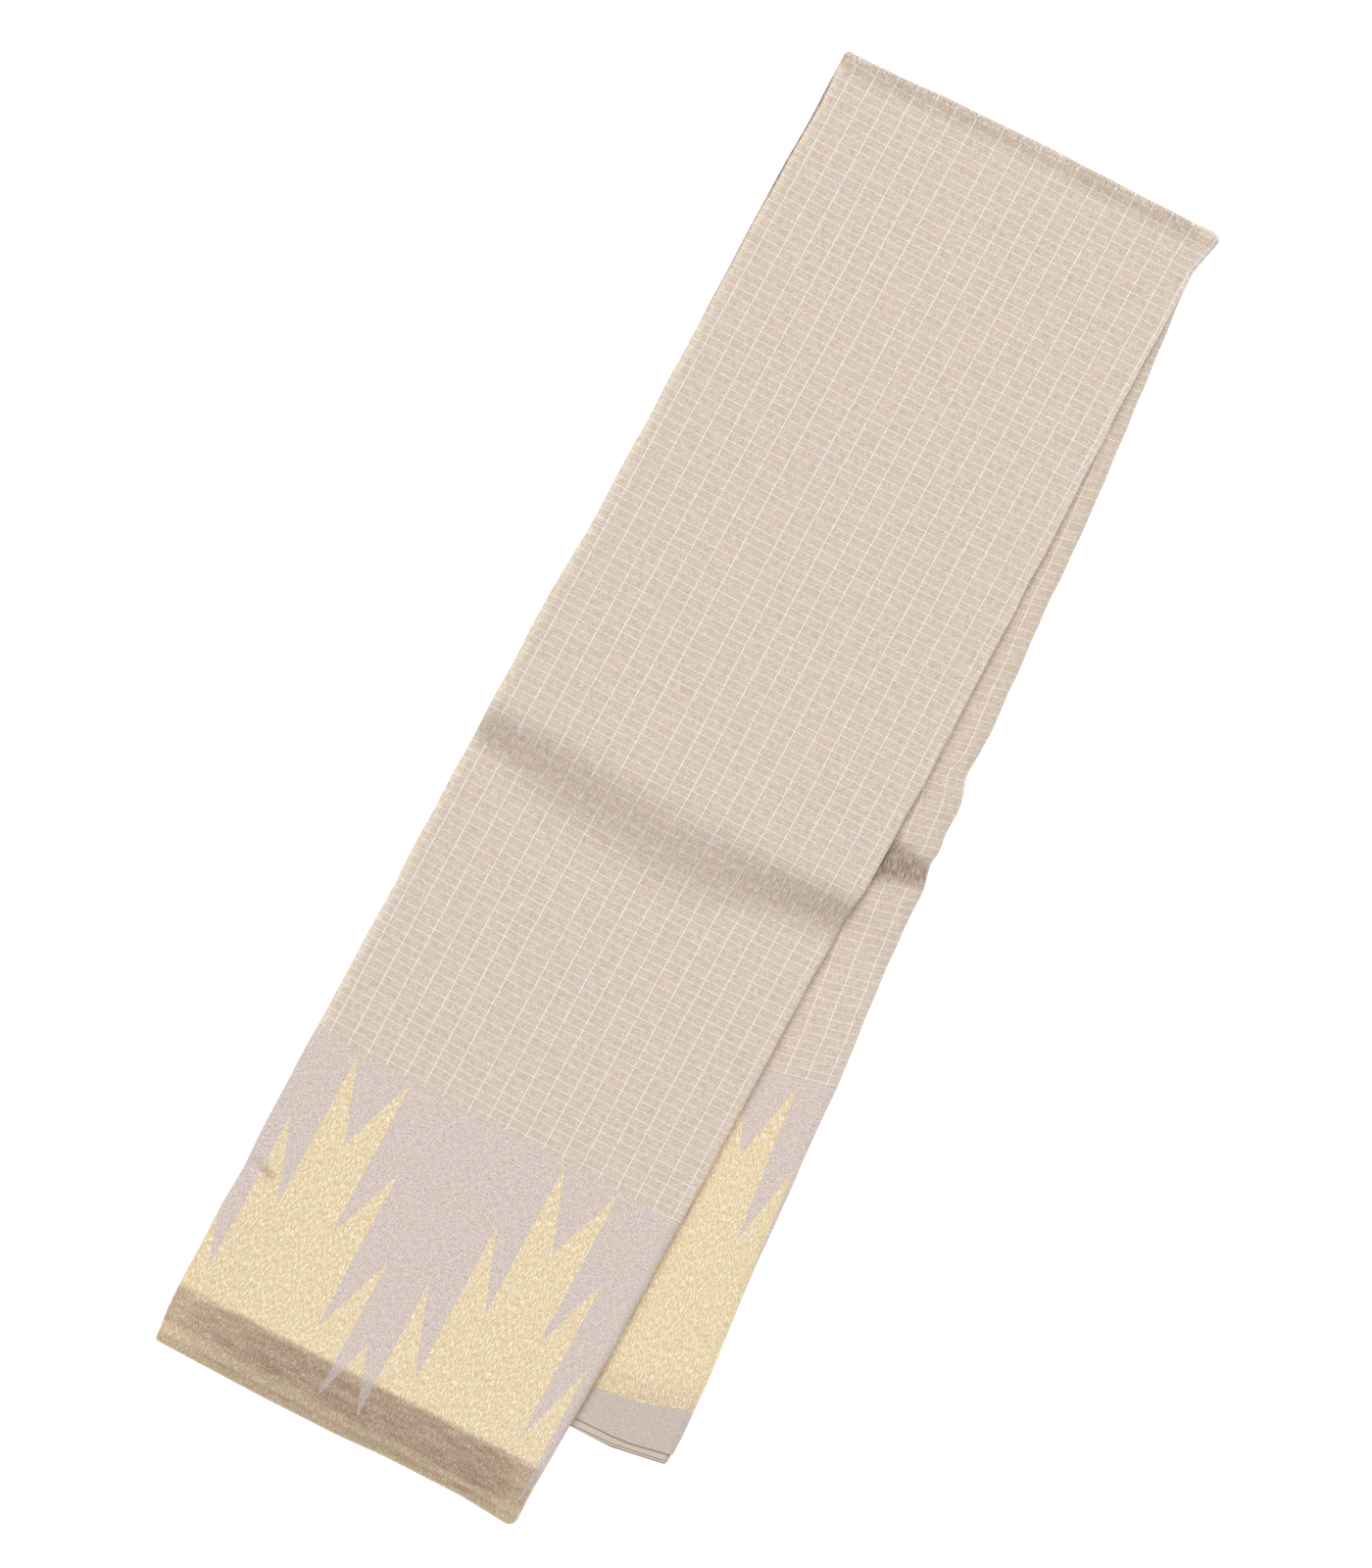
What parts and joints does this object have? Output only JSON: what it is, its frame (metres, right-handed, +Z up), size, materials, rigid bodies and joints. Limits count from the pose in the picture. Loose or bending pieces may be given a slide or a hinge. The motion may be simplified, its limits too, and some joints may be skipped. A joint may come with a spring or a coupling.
{
  "type": "folded silk saree",
  "caption": "Silk saree folded into a long flat strip and folded over at the top, with a fine check field and a gold border of stepped spikes at each end.",
  "frame": {"origin": "middle of the underside's bounding box, on the surface that the saree lies on", "axes": "+Y along the strip towards the top fold, +X across it towards the side where the back half peeps out, +Z up"},
  "size_m": [0.2114, 0.6016, 0.0166],
  "materials": {
    "check_silk": "soft sheen silk with fine white checks and gold flecks",
    "gold_border": "ribbed gold thread weave",
    "plain_silk": "plain silk with a soft sheen",
    "inner_silk": "silk layers seen edge on"
  },
  "bodies": {
    "root": {"front_field": "check_silk", "front_border": "gold_border", "front_turned_end": "gold_border", "front_layers": "inner_silk", "top_fold": "check_silk", "back_field": "check_silk", "back_border": "gold_border", "back_selvedge": "plain_silk", "back_layers": "inner_silk"}
  },
  "joints": []
}
